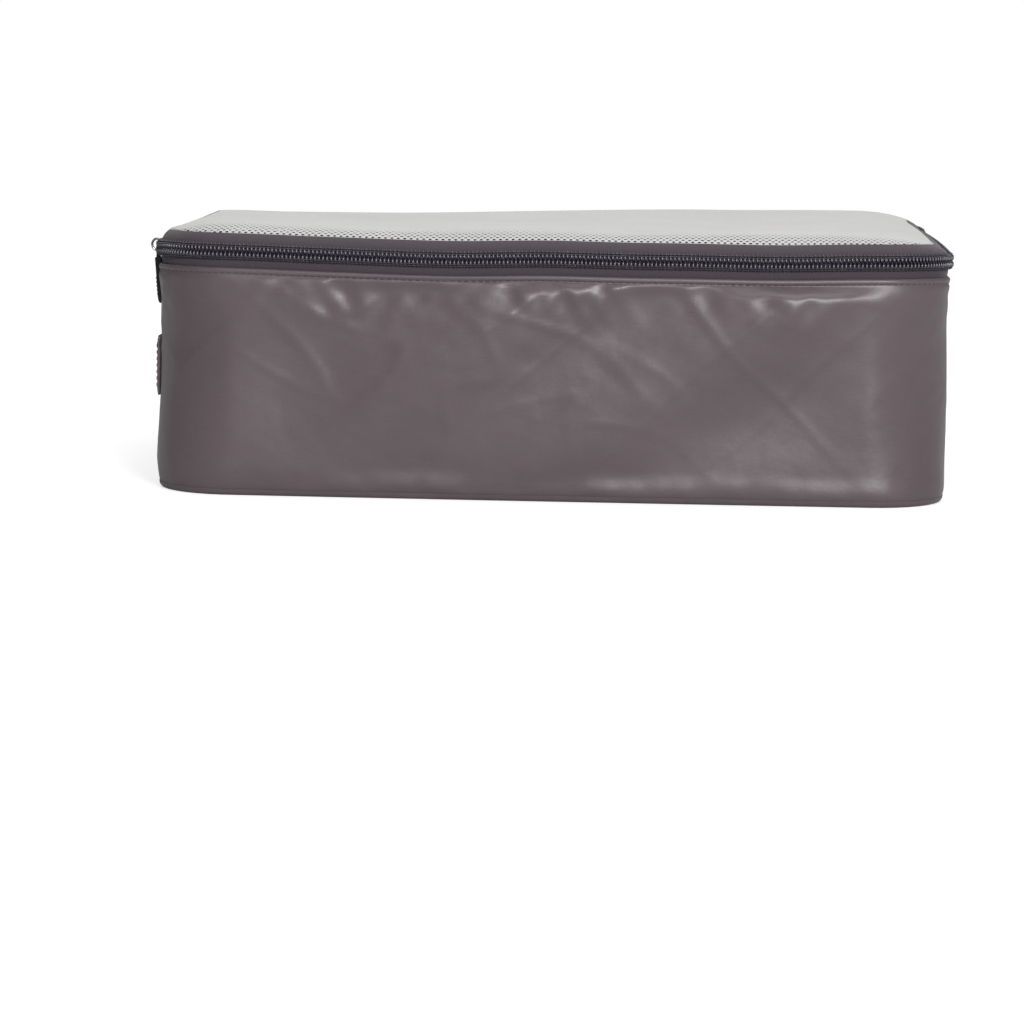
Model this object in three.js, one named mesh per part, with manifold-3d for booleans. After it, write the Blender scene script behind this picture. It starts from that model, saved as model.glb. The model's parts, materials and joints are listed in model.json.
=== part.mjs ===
// A soft packing cube: a fabric tray, a mesh lid hinged along the back and zipped along the other
// three sides, a flat side handle, and a slider with a wire ring and a moulded pull.
// Millimetres, +Z up. The origin is the middle of the underside. +X runs along the long side and
// +Y towards the hinged back. An inset is a distance inwards from the outside of the wall.

import * as THREE from "three";
import { mergeVertices } from "three/addons/utils/BufferGeometryUtils.js";
import Module from "manifold-3d";

const wasm = await Module();
wasm.setup();

// Tray
const cubeWidth = 330;
const cubeDepth = 245;
const cornerRadius = 33;
const wallTop = 93; // height of the folded top edge of the wall
const wallThickness = 1;
const bottomThickness = 1;
const clearance = 0.3; // between pieces that touch on the real object
const arcSegments = 8; // facets in each quarter turn of the plan

// Zipper
const tapeThickness = 0.6;
const tapeShown = 3.5; // tape in sight between a fabric edge and the coil
const tapeTucked = 8; // lower tape hidden behind the wall
const coilHeight = 2.4; // one row of loops
const coilThickness = 2;
const coilGap = 1.6; // where the heads of the two rows mesh, and where the slider's post runs

// Lid
const meshThickness = 0.7;
const meshInset = 0.3;
const meshSkirt = 1.25; // upright edge of the mesh
const meshCrownRise = 4;
const meshCrownRun = 16; // how far in from the edge the crown levels out
const hingeStandoff = 0.5; // hinge line behind the back wall

// Seam bindings
const bindingThickness = 1.2;
const bottomBindingHeight = 9;
const cornerBindingWidth = 8;
const hingeBindingHeight = 8.5;
const lidBindingHeight = 2.6;

// Handle
const strapWidth = 25;
const strapThickness = 1.6;
const strapMiddleHeight = 50; // height of the strap's centre line
const handleLength = 176; // over both sewn ends
const sewnEndLength = 25;
const strapBow = 2.4; // how far the middle stands off its ends
const boxStitchMargin = 3;
const threadWidth = 0.9;
const threadThickness = 0.5;

// Slider
const sliderOffset = -52; // from the middle of the left side, towards the front
const sliderLength = 13;
const sliderHeight = 9.4;
const sliderNoseHeight = 7.4;
const plateThickness = 1;
const flangeHeight = 1.1;
const postLength = 4;
const crownLength = 9.6;
const crownFoot = 1.4;
const crownBarHeight = 1.2;
const crownBarThickness = 1;
const crownRise = 2.8; // outer plate to the middle of the crown's bar

// Ring and pull
const ringRadius = 2.6;
const ringWireRadius = 0.5;
const ringHangOut = 0.6;
const ringHangDown = 0.8;
const eyeClearance = 0.45;
const eyeRadius = 2.4;
const eyeThickness = 1.4;
const pullLength = 25;
const pullNeckWidth = 4.6;
const pullTipWidth = 7.4;
const pullThickness = 3;
const pullLean = 5; // degrees, tip towards the wall

// Worked-out heights
const chainBottom = wallTop + tapeShown;
const lowerCoilTop = chainBottom + coilHeight;
const chainMiddle = lowerCoilTop + coilGap / 2;
const upperCoilBottom = lowerCoilTop + coilGap;
const chainTop = upperCoilBottom + coilHeight;
const meshEdge = chainTop + tapeShown;
const crownStart = meshEdge + meshSkirt;
const lidTop = crownStart + meshCrownRise;
const backWallTop = meshEdge - 2.5 * clearance;
const trayFloor = bottomThickness + clearance;

// Worked-out insets
const tapeInset = wallThickness + clearance;
const tapeInnerInset = tapeInset + tapeThickness;
const coilInnerInset = tapeInset - clearance;
const coilInset = coilInnerInset - coilThickness;
const liningInset = wallThickness + clearance; // outer face of a binding against the wall
const lidBindingInset = tapeInnerInset + clearance;
const straightHalf = cubeWidth / 2 - cornerRadius; // half the straight stretch of the back

const colours = {
  shellFabric: new THREE.MeshStandardMaterial({ color: 0x6f6569, roughness: 0.6, metalness: 0 }),
  meshNet: new THREE.MeshStandardMaterial({ color: 0xc8c8c6, roughness: 0.8, metalness: 0 }),
  zipperTape: new THREE.MeshStandardMaterial({ color: 0x51474f, roughness: 0.85, metalness: 0 }),
  zipperCoil: new THREE.MeshStandardMaterial({ color: 0x3c3a44, roughness: 0.5, metalness: 0 }),
  bindingTape: new THREE.MeshStandardMaterial({ color: 0x585057, roughness: 0.9, metalness: 0 }),
  thread: new THREE.MeshStandardMaterial({ color: 0x7c7276, roughness: 0.7, metalness: 0 }),
  sliderMetal: new THREE.MeshStandardMaterial({ color: 0x5a5a5e, roughness: 0.4, metalness: 0.9 }),
  brightMetal: new THREE.MeshStandardMaterial({ color: 0xb4b4b8, roughness: 0.2, metalness: 1 }),
  pullRubber: new THREE.MeshStandardMaterial({ color: 0x19191b, roughness: 0.55, metalness: 0 }),
};

// A closed geometry as a solid that can be joined and cut.
function solidFrom(geometry) {
  const bare = geometry.clone();
  bare.deleteAttribute("normal");
  bare.deleteAttribute("uv");
  const merged = mergeVertices(bare, 1e-4);
  return new wasm.Manifold(
    new wasm.Mesh({
      numProp: 3,
      vertProperties: merged.attributes.position.array,
      triVerts: new Uint32Array(merged.index.array),
    }),
  );
}

function geometryFrom(solid) {
  const mesh = solid.getMesh();
  const geometry = new THREE.BufferGeometry();
  geometry.setAttribute("position", new THREE.BufferAttribute(mesh.vertProperties, 3));
  geometry.setIndex(new THREE.BufferAttribute(mesh.triVerts, 1));
  geometry.computeVertexNormals();
  return geometry;
}

function boxBetween(low, high) {
  const geometry = new THREE.BoxGeometry(high[0] - low[0], high[1] - low[1], high[2] - low[2]);
  geometry.translate((low[0] + high[0]) / 2, (low[1] + high[1]) / 2, (low[2] + high[2]) / 2);
  return geometry;
}

function addPiece(parent, name, geometry, material) {
  const mesh = new THREE.Mesh(geometry, material);
  mesh.name = name;
  parent.add(mesh);
}

// The cube's plan, drawn at an inset.
function traceOutline(path, inset) {
  const halfX = cubeWidth / 2 - inset;
  const halfY = cubeDepth / 2 - inset;
  const radius = cornerRadius - inset;
  const x = halfX - radius;
  const y = halfY - radius;
  path.moveTo(-x, -halfY);
  path.absarc(x, -y, radius, -Math.PI / 2, 0);
  path.absarc(x, y, radius, 0, Math.PI / 2);
  path.absarc(-x, y, radius, Math.PI / 2, Math.PI);
  path.absarc(-x, -y, radius, Math.PI, Math.PI * 1.5);
  path.closePath();
  return path;
}

function plate(inset, bottom, top) {
  const shape = traceOutline(new THREE.Shape(), inset);
  const settings = { depth: top - bottom, bevelEnabled: false, curveSegments: arcSegments };
  return new THREE.ExtrudeGeometry(shape, settings).translate(0, 0, bottom);
}

// An upright band all round the plan, between two insets.
function band(outerInset, innerInset, bottom, top) {
  const shape = traceOutline(new THREE.Shape(), outerInset);
  shape.holes.push(traceOutline(new THREE.Path(), innerInset));
  const settings = { depth: top - bottom, bevelEnabled: false, curveSegments: arcSegments };
  return new THREE.ExtrudeGeometry(shape, settings).translate(0, 0, bottom);
}

// The block of space behind the middle that holds the straight stretch of the back.
function backBlock(halfLength) {
  return solidFrom(boxBetween([-halfLength, 0, -cubeDepth], [halfLength, cubeDepth, cubeDepth]));
}

// The band's front, sides and back corners.
function threeSidedBand(outerInset, innerInset, bottom, top) {
  const whole = solidFrom(band(outerInset, innerInset, bottom, top));
  return geometryFrom(whole.subtract(backBlock(straightHalf + clearance)));
}

// The band's straight stretch along the back.
function backBand(outerInset, innerInset, bottom, top, halfLength) {
  const whole = solidFrom(band(outerInset, innerInset, bottom, top));
  return geometryFrom(whole.intersect(backBlock(halfLength)));
}

function buildTray(parent) {
  const { shellFabric, bindingTape } = colours;
  const wall = threeSidedBand(0, wallThickness, trayFloor, wallTop);
  const backWall = backBand(0, wallThickness, trayFloor, backWallTop, straightHalf);
  addPiece(parent, "bottom_panel", plate(0, 0, bottomThickness), shellFabric);
  addPiece(parent, "front_side_wall", wall, shellFabric);
  addPiece(parent, "back_wall", backWall, shellFabric);

  const bindingInner = liningInset + bindingThickness;
  const bottomBindingTop = trayFloor + bottomBindingHeight;
  const bottomBinding = band(liningInset, bindingInner, trayFloor, bottomBindingTop);
  addPiece(parent, "bottom_seam_binding", bottomBinding, bindingTape);

  const hingeBindingTop = backWallTop - 2 * clearance;
  const hingeBindingBottom = hingeBindingTop - hingeBindingHeight;
  const hingeHalf = straightHalf - cornerBindingWidth;
  const hingeBinding = backBand(
    liningInset, bindingInner, hingeBindingBottom, hingeBindingTop, hingeHalf,
  );
  addPiece(parent, "hinge_seam_binding", hingeBinding, bindingTape);

  // A corner binding is flat, so it clears the wall where the back corner starts to turn.
  const halfWidth = cornerBindingWidth / 2;
  const innerRadius = cornerRadius - wallThickness;
  const turnIn = innerRadius - Math.sqrt(innerRadius ** 2 - halfWidth ** 2);
  const outerY = cubeDepth / 2 - liningInset - turnIn;
  const bindingBottom = bottomBindingTop + clearance;
  const bindingTop = Math.min(wallTop - tapeTucked, hingeBindingBottom) - clearance;
  for (const [side, sign] of [["left", -1], ["right", 1]]) {
    const x = sign * straightHalf;
    const strip = boxBetween(
      [x - halfWidth, outerY - bindingThickness, bindingBottom],
      [x + halfWidth, outerY, bindingTop],
    );
    addPiece(parent, `back_${side}_seam_binding`, strip, bindingTape);
  }
}

function buildLowerZipper(parent) {
  const tapeBottom = wallTop - tapeTucked;
  const tape = threeSidedBand(tapeInset, tapeInnerInset, tapeBottom, lowerCoilTop);
  const coil = threeSidedBand(coilInset, coilInnerInset, chainBottom, lowerCoilTop);
  addPiece(parent, "lower_zipper_tape", tape, colours.zipperTape);
  addPiece(parent, "lower_zipper_coil", coil, colours.zipperCoil);
}

// A slab whose top edge turns in along a quarter ellipse, flat underneath.
function crownedSlab(inset, top) {
  const shape = traceOutline(new THREE.Shape(), inset + meshCrownRun);
  const settings = {
    depth: meshCrownRise,
    curveSegments: arcSegments,
    bevelThickness: meshCrownRise,
    bevelSize: meshCrownRun,
    bevelSegments: 5,
  };
  const slab = new THREE.ExtrudeGeometry(shape, settings);
  slab.translate(0, 0, top - 2 * meshCrownRise);
  const below = boxBetween([-cubeWidth, -cubeDepth, -lidTop], [cubeWidth, cubeDepth, meshEdge]);
  return solidFrom(slab).subtract(solidFrom(below));
}

function buildLid(parent) {
  const outside = crownedSlab(meshInset, lidTop);
  const inside = crownedSlab(meshInset + meshThickness, lidTop - meshThickness);
  addPiece(parent, "mesh_panel", geometryFrom(outside.subtract(inside)), colours.meshNet);

  const tapeTop = crownStart - meshThickness;
  const tape = threeSidedBand(tapeInset, tapeInnerInset, upperCoilBottom, tapeTop);
  const coil = threeSidedBand(coilInset, coilInnerInset, upperCoilBottom, chainTop);
  addPiece(parent, "upper_zipper_tape", tape, colours.zipperTape);
  addPiece(parent, "upper_zipper_coil", coil, colours.zipperCoil);

  const bindingBottom = backWallTop - clearance;
  const binding = band(
    lidBindingInset, lidBindingInset + bindingThickness,
    bindingBottom, bindingBottom + lidBindingHeight,
  );
  addPiece(parent, "lid_seam_binding", binding, colours.bindingTape);
}

// The handle lies along the left side. Its group's -X is outwards and its Z is at the centre line.
function buildHandle(parent) {
  const handle = new THREE.Group();
  handle.position.set(-cubeWidth / 2 - clearance, 0, strapMiddleHeight);
  parent.add(handle);

  const half = handleLength / 2;
  const sewnInner = half - sewnEndLength;
  const openHalf = sewnInner - clearance;
  const halfWidth = strapWidth / 2;

  // The free middle of the strap bows outwards between its sewn ends.
  const plan = new THREE.Shape();
  plan.moveTo(0, -openHalf);
  plan.quadraticCurveTo(-2 * strapBow, 0, 0, openHalf);
  plan.lineTo(-strapThickness, openHalf);
  plan.quadraticCurveTo(-strapThickness - 2 * strapBow, 0, -strapThickness, -openHalf);
  plan.closePath();
  const settings = { depth: strapWidth, bevelEnabled: false, curveSegments: 16 };
  const strap = new THREE.ExtrudeGeometry(plan, settings).translate(0, 0, -halfWidth);
  addPiece(handle, "handle_strap", strap, colours.shellFabric);

  for (const [place, sign] of [["front", -1], ["back", 1]]) {
    const near = Math.min(sign * sewnInner, sign * half);
    const end = boxBetween(
      [-strapThickness, near, -halfWidth],
      [0, near + sewnEndLength, halfWidth],
    );
    addPiece(handle, `handle_${place}_end`, end, colours.shellFabric);

    const middle = sign * (sewnInner + half) / 2;
    const stitch = boxStitch().translate(-strapThickness - clearance, middle, 0);
    addPiece(handle, `handle_${place}_stitch`, stitch, colours.thread);
  }
}

// A sewn square with both diagonals, as one flat body in the YZ plane.
function boxStitch() {
  const side = sewnEndLength - 2 * boxStitchMargin;
  const inner = side / 2 - threadWidth;
  const outline = boxBetween([-threadThickness, -side / 2, -side / 2], [0, side / 2, side / 2]);
  const hollow = boxBetween([-threadThickness - 1, -inner, -inner], [1, inner, inner]);
  const diagonalLength = side * Math.SQRT2 - 2 * threadWidth;
  let stitch = solidFrom(outline).subtract(solidFrom(hollow));
  for (const turn of [-Math.PI / 4, Math.PI / 4]) {
    const bar = new THREE.BoxGeometry(threadThickness, diagonalLength, threadWidth);
    bar.rotateX(turn);
    bar.translate(-threadThickness / 2, 0, 0);
    stitch = stitch.add(solidFrom(bar));
  }
  return geometryFrom(stitch);
}

// A shape drawn with x along the chain and y up, extruded outwards from the wall by a thickness.
function outwardExtrude(shape, thickness, curveSegments, bevel = 0) {
  const geometry = new THREE.ExtrudeGeometry(shape, {
    depth: thickness - 2 * bevel,
    curveSegments,
    bevelEnabled: bevel > 0,
    bevelThickness: bevel,
    bevelSize: bevel,
    bevelOffset: -bevel,
    bevelSegments: 2,
  });
  geometry.translate(0, 0, bevel - thickness);
  geometry.applyMatrix4(new THREE.Matrix4().makeBasis(
    new THREE.Vector3(0, 1, 0), new THREE.Vector3(0, 0, 1), new THREE.Vector3(1, 0, 0),
  ));
  return geometry;
}

// The slider rides on the left side. Its group's origin is on the outside of the wall at the
// middle of the chain, its -X is outwards and its -Y is the closed end.
function buildSlider(parent) {
  const slider = new THREE.Group();
  slider.position.set(-cubeWidth / 2, sliderOffset, chainMiddle);
  parent.add(slider);

  const outerPlateInner = coilInset - clearance;
  const outerPlateOuter = outerPlateInner - plateThickness;
  const innerPlateOuter = tapeInnerInset + clearance;
  const innerPlateInner = innerPlateOuter + plateThickness;

  const face = new THREE.Shape();
  const halfLength = sliderLength / 2;
  const nose = sliderNoseHeight / 2;
  const mouth = sliderHeight / 2;
  face.moveTo(-halfLength + 1.5, -nose);
  face.bezierCurveTo(-1, -nose, -1, -mouth, 2, -mouth);
  face.lineTo(halfLength - 1, -mouth);
  face.quadraticCurveTo(halfLength, -mouth, halfLength, -mouth + 1);
  face.lineTo(halfLength, mouth - 1);
  face.quadraticCurveTo(halfLength, mouth, halfLength - 1, mouth);
  face.lineTo(2, mouth);
  face.bezierCurveTo(-1, mouth, -1, nose, -halfLength + 1.5, nose);
  face.quadraticCurveTo(-halfLength, nose, -halfLength, 0);
  face.quadraticCurveTo(-halfLength, -nose, -halfLength + 1.5, -nose);

  const outerPlate = outwardExtrude(face, plateThickness, 6).translate(outerPlateInner, 0, 0);
  const innerPlate = outwardExtrude(face, plateThickness, 6).translate(innerPlateInner, 0, 0);
  // The post joins the plates between the two rows of loops. The flange hooks under the lower row.
  const postHalf = coilGap / 2 - clearance;
  const post = boxBetween(
    [outerPlateInner - plateThickness / 2, halfLength - postLength - 1, -postHalf],
    [innerPlateOuter + plateThickness / 2, halfLength - 1, postHalf],
  );
  const flangeTop = chainBottom - clearance - chainMiddle;
  const flange = boxBetween(
    [outerPlateInner - plateThickness / 2, 2, Math.max(flangeTop - flangeHeight, -mouth)],
    [coilInnerInset - clearance, halfLength - 1, flangeTop],
  );
  let body = solidFrom(outerPlate);
  for (const piece of [innerPlate, post, flange]) {
    body = body.add(solidFrom(piece));
  }
  addPiece(slider, "slider_body", geometryFrom(body), colours.sliderMetal);

  // The crown is a bar on two feet that stand on the outer plate.
  const crownX = outerPlateOuter - crownRise;
  const footTop = crownRise - crownBarThickness / 2;
  const crownTop = crownRise + crownBarThickness / 2;
  const halfCrown = crownLength / 2;
  const arch = new THREE.Shape();
  arch.moveTo(-halfCrown, clearance);
  arch.lineTo(-halfCrown + crownFoot, clearance);
  arch.lineTo(-halfCrown + crownFoot, footTop - 0.6);
  arch.quadraticCurveTo(-halfCrown + crownFoot, footTop, -halfCrown + crownFoot + 0.6, footTop);
  arch.lineTo(halfCrown - crownFoot - 0.6, footTop);
  arch.quadraticCurveTo(halfCrown - crownFoot, footTop, halfCrown - crownFoot, footTop - 0.6);
  arch.lineTo(halfCrown - crownFoot, clearance);
  arch.lineTo(halfCrown, clearance);
  arch.bezierCurveTo(halfCrown, crownTop, halfCrown, crownTop, halfCrown - 2, crownTop);
  arch.lineTo(-halfCrown + 2, crownTop);
  arch.bezierCurveTo(-halfCrown, crownTop, -halfCrown, crownTop, -halfCrown, clearance);
  const crown = new THREE.ExtrudeGeometry(arch, {
    depth: crownBarHeight, bevelEnabled: false, curveSegments: 5,
  });
  crown.translate(0, 0, -crownBarHeight / 2);
  crown.applyMatrix4(new THREE.Matrix4().makeBasis(
    new THREE.Vector3(0, 1, 0), new THREE.Vector3(-1, 0, 0), new THREE.Vector3(0, 0, 1),
  ));
  crown.translate(outerPlateOuter, 0, 0);
  addPiece(slider, "slider_crown", crown, colours.brightMetal);

  // The ring hangs on the crown's bar, in a plane across the chain.
  const ringX = crownX - ringHangOut;
  const ring = new THREE.TorusGeometry(ringRadius, ringWireRadius, 8, 28);
  ring.rotateX(Math.PI / 2);
  ring.translate(ringX, 0, -ringHangDown);
  addPiece(slider, "pull_ring", ring, colours.brightMetal);

  addPiece(slider, "rubber_pull", pullGeometry(ringX), colours.pullRubber);
}

// A flat tab with an eye. The eye turns on the lowest point of the ring.
function pullGeometry(ringX) {
  const holeRadius = ringWireRadius + eyeClearance;
  const head = new THREE.Shape();
  head.absarc(0, 0, eyeRadius, 0, Math.PI);
  head.lineTo(-pullNeckWidth / 2, -eyeRadius - 2);
  head.lineTo(pullNeckWidth / 2, -eyeRadius - 2);
  head.closePath();
  head.holes.push(new THREE.Path().absarc(0, 0, holeRadius, 0, Math.PI * 2));

  const neck = pullNeckWidth / 2;
  const tip = pullTipWidth / 2;
  const bottom = eyeRadius - pullLength;
  const tab = new THREE.Shape();
  tab.moveTo(-neck, -eyeRadius - 0.5);
  tab.bezierCurveTo(-neck, bottom / 2, -tip, bottom / 2, -tip, bottom + tip);
  tab.absarc(0, bottom + tip, tip, Math.PI, Math.PI * 2);
  tab.bezierCurveTo(tip, bottom / 2, neck, bottom / 2, neck, -eyeRadius - 0.5);
  tab.closePath();

  const thinHead = outwardExtrude(head, eyeThickness, 8).translate(eyeThickness / 2, 0, 0);
  const thickTab = outwardExtrude(tab, pullThickness, 8, 0.7).translate(pullThickness / 2, 0, 0);
  const pull = geometryFrom(solidFrom(thinHead).add(solidFrom(thickTab)));
  pull.rotateY(-THREE.MathUtils.degToRad(pullLean));
  pull.translate(ringX, 0, -ringHangDown - ringRadius);
  return pull;
}

const packingCube = new THREE.Group();
buildTray(packingCube);
buildLowerZipper(packingCube);
buildLid(packingCube);
buildHandle(packingCube);
buildSlider(packingCube);

export default packingCube;
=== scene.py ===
import json
import math

import bpy
import numpy as np
from mathutils import Matrix, Vector
from mathutils.kdtree import KDTree


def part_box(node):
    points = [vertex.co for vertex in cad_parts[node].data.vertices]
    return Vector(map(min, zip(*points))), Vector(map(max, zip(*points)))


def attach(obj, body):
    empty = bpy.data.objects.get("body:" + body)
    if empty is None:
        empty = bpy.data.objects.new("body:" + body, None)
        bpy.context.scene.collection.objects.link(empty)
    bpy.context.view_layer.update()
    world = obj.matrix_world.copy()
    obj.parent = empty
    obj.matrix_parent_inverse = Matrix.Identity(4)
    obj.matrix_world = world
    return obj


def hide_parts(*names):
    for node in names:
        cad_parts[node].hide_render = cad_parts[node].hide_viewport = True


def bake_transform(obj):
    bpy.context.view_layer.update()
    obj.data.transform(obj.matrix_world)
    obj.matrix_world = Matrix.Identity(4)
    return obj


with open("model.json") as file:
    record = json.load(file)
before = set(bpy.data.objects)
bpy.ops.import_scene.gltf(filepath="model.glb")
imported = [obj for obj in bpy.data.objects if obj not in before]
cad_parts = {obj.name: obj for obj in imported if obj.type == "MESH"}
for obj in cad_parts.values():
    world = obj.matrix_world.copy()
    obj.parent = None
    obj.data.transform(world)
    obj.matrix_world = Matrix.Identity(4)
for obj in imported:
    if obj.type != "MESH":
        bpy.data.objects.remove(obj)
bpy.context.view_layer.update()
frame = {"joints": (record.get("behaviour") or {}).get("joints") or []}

mm = 0.001

# The plan of the cube, from the CAD boxes. An inset is a distance inwards from the outside of the wall.
wallLow, wallHigh = [Vector(corner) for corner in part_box("front_side_wall")]
backHigh = Vector(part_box("back_wall")[1])
halfWidth = (wallHigh.x - wallLow.x) / 2
halfDepth = (wallHigh.y - wallLow.y) / 2
straightX = backHigh.x
cornerRadius = halfWidth - straightX
straightY = halfDepth - cornerRadius
quarter = math.pi / 2 * cornerRadius
zipLength = 4 * quarter + 4 * straightY + 2 * straightX
perimeter = zipLength + 2 * straightX
wallTop = wallHigh.z
lowerCoilLow, lowerCoilHigh = [Vector(corner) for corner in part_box("lower_zipper_coil")]
upperCoilLow, upperCoilHigh = [Vector(corner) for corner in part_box("upper_zipper_coil")]
chainMiddle = (lowerCoilLow.z + upperCoilHigh.z) / 2
meshEdge = Vector(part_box("mesh_panel")[0]).z
joints = {joint["name"]: joint for joint in frame["joints"]}


def outline(distance):
    # points on the plan and their outward directions, at distances from the zip's left back end
    distance = np.atleast_1d(np.asarray(distance, float)) % perimeter
    points = np.zeros((len(distance), 2))
    outward = np.zeros((len(distance), 2))
    legs = [
        ("arc", (-straightX, straightY), 90), ("line", (-halfWidth, straightY), (0, -1)),
        ("arc", (-straightX, -straightY), 180), ("line", (-straightX, -halfDepth), (1, 0)),
        ("arc", (straightX, -straightY), 270), ("line", (halfWidth, -straightY), (0, 1)),
        ("arc", (straightX, straightY), 0), ("line", (straightX, halfDepth), (-1, 0)),
    ]
    start = 0.0
    for kind, place, turn in legs:
        if kind == "arc":
            length = quarter
        else:
            length = 2 * (straightX if turn[0] else straightY)
        here = (distance >= start - 1e-9) & (distance <= start + length)
        along = distance[here] - start
        if kind == "arc":
            angle = math.radians(turn) + along / cornerRadius
            outward[here] = np.stack([np.cos(angle), np.sin(angle)], axis=1)
            points[here] = np.array(place) + cornerRadius * outward[here]
        else:
            points[here] = np.array(place) + along[:, None] * np.array(turn, float)
            outward[here] = (turn[1], -turn[0])
        start += length
    return points, outward


def smooth(value):
    t = np.clip(value, 0, 1)
    return t * t * (3 - 2 * t)


def crumple(across, up, length, seed, waves=14):
    # smooth uneven ups and downs, about -1 to 1, the same each time for one seed
    rng = np.random.default_rng(seed)
    total = np.zeros(len(across))
    for turn, phase, stretch in zip(rng.uniform(0, math.pi, waves), rng.uniform(0, 2 * math.pi, waves),
                                    rng.uniform(0.6, 1.7, waves)):
        wave = 2 * math.pi / (length * stretch)
        total += np.sin(wave * (across * math.cos(turn) + up * math.sin(turn)) + phase)
    return total / math.sqrt(waves) * 0.9


settleValues = {
    "frontBow": 2.4 * mm, "sideBow": 1.4 * mm, "backBow": 1.5 * mm, "cornerLift": 1.2 * mm,
    "wander": 0.4 * mm, "wanderLength": 170 * mm, "cornerFlat": 0.34,
    "edgeInset": 4.2 * mm, "sideInset": 2.8 * mm, "sideDip": 0.5 * mm,
    "backSkew": 6.5 * mm, "backDip": 4.0 * mm, "backRise": 1.8 * mm,
}


def lidEdge(distance):
    # how far in the top edge of the upper tape lies, and its height: it lies flatter on the right
    v = settleValues
    side = np.clip(outline(distance)[1][:, 0], 0, 1) ** 2
    return v["edgeInset"] + v["sideInset"] * side, meshEdge + 0.6 * mm - v["sideDip"] * side


def settle(points):
    # the slack of the whole cube: its walls bow out a little and its zip line droops and wanders
    v = settleValues
    out = points.copy()
    x, y, z = points[:, 0], points[:, 1], points[:, 2]
    acrossFront = np.clip(1 - (x / straightX) ** 2, 0, 1)
    front = acrossFront * smooth((-y - 60 * mm) / (50 * mm))
    back = acrossFront * smooth((y - 80 * mm) / (40 * mm)) * smooth(z / meshEdge * 4) * smooth(
        (meshEdge - z) / (30 * mm))
    right = np.clip(1 - (y / straightY) ** 2, 0, 1) * smooth((x - 120 * mm) / (40 * mm))
    low = smooth(z / (25 * mm))
    # the corners are pulled flatter between the zip and the base
    beyond = np.maximum(np.abs(points[:, :2]) - np.array([straightX, straightY]), 0)
    reach = np.linalg.norm(beyond, axis=1)
    turn = np.arctan2(beyond[:, 1], beyond[:, 0])
    chord = cornerRadius * math.sqrt(0.5) / np.maximum(np.cos(turn - math.pi / 4), 0.7)
    between = smooth(z / (46 * mm)) * smooth((wallTop - 2 * mm - z) / (30 * mm))
    pull = v["cornerFlat"] * between * np.clip(cornerRadius - chord, 0, None) * (reach > 1e-6)
    inwards = -np.sign(points[:, :2]) * beyond / np.maximum(reach, 1e-9)[:, None]
    out[:, :2] += inwards * pull[:, None]
    out[:, 1] -= v["frontBow"] * front * (0.4 + 0.6 * low)
    out[:, 1] += v["backBow"] * back
    out[:, 0] += v["sideBow"] * right * (0.4 + 0.6 * low)
    wave = np.sin(2 * math.pi * x / v["wanderLength"] + 0.7) + 0.5 * np.sin(
        4.7 * math.pi * x / v["wanderLength"] + 2.0)
    high = smooth((z - 40 * mm) / (50 * mm))
    nearFront = smooth((-y - 60 * mm) / (60 * mm))
    out[:, 2] += high * nearFront * v["cornerLift"] * smooth((np.abs(x) - 60 * mm) / (90 * mm))
    out[:, 2] += high * front * v["wander"] * wave
    # the back of the lid has slipped to the right, and is lower on the left
    behind = smooth((y - 84 * mm) / (38 * mm))
    out[:, 0] += v["backSkew"] * behind * smooth(z / (110 * mm))
    out[:, 2] -= v["backDip"] * behind * high * smooth((70 * mm - x) / (190 * mm))
    out[:, 2] += v["backRise"] * behind * high * smooth((x - 70 * mm) / (80 * mm))
    return out


def onWall(distance, inset, height):
    # points on an upright line of the plan, settled with the cloth
    points, outward = outline(distance)
    flat = points - np.asarray(inset, float).reshape(-1, 1) * outward
    tall = np.broadcast_to(np.asarray(height, float), len(flat))
    return settle(np.column_stack([flat, tall]))


def clearSelection():
    if bpy.context.object and bpy.context.object.mode != "OBJECT":
        bpy.ops.object.mode_set(mode="OBJECT")
    bpy.ops.object.select_all(action="DESELECT")


def choose(piece):
    clearSelection()
    piece.select_set(True)
    bpy.context.view_layer.objects.active = piece


def readPoints(piece):
    points = np.empty(len(piece.data.vertices) * 3)
    piece.data.vertices.foreach_get("co", points)
    return points.reshape(-1, 3)


def writePoints(piece, points):
    piece.data.vertices.foreach_set("co", np.ascontiguousarray(points, dtype=float).ravel())
    piece.data.update()


def applyAll(piece):
    choose(piece)
    for modifier in list(piece.modifiers):
        bpy.ops.object.modifier_apply(modifier=modifier.name)


def applyPlace():
    bpy.ops.object.transform_apply(location=True, rotation=True, scale=True)


def addObject(name, data):
    made = bpy.data.objects.new(name, data)
    bpy.context.scene.collection.objects.link(made)
    return made


def thicken(piece, thickness):
    # the cloth's thickness grows inwards
    wall = piece.modifiers.new("thickness", "SOLIDIFY")
    wall.thickness = thickness
    wall.offset = -1


def subdivide(piece):
    smoothing = piece.modifiers.new("smooth", "SUBSURF")
    smoothing.levels = 1
    smoothing.render_levels = 1


def softenEdges(piece, width, segments=3):
    bevel = piece.modifiers.new("soft", "BEVEL")
    bevel.width = width
    bevel.segments = segments
    return bevel


def pointOutwards(piece):
    choose(piece)
    bpy.ops.object.mode_set(mode="EDIT")
    bpy.ops.mesh.select_all(action="SELECT")
    bpy.ops.mesh.normals_make_consistent(inside=False)
    bpy.ops.object.mode_set(mode="OBJECT")


def faceCorners(piece):
    # the point at each face corner, in the order that a UV map has
    index = np.empty(len(piece.data.loops), int)
    piece.data.loops.foreach_get("vertex_index", index)
    return index


def mapCloth(piece, layer, flat):
    # the UV map "cloth" is the cloth laid flat, in metres; flat has one place for each point
    layer.name = "cloth"
    layer.data.foreach_set("uv", flat[faceCorners(piece)].ravel())


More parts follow.
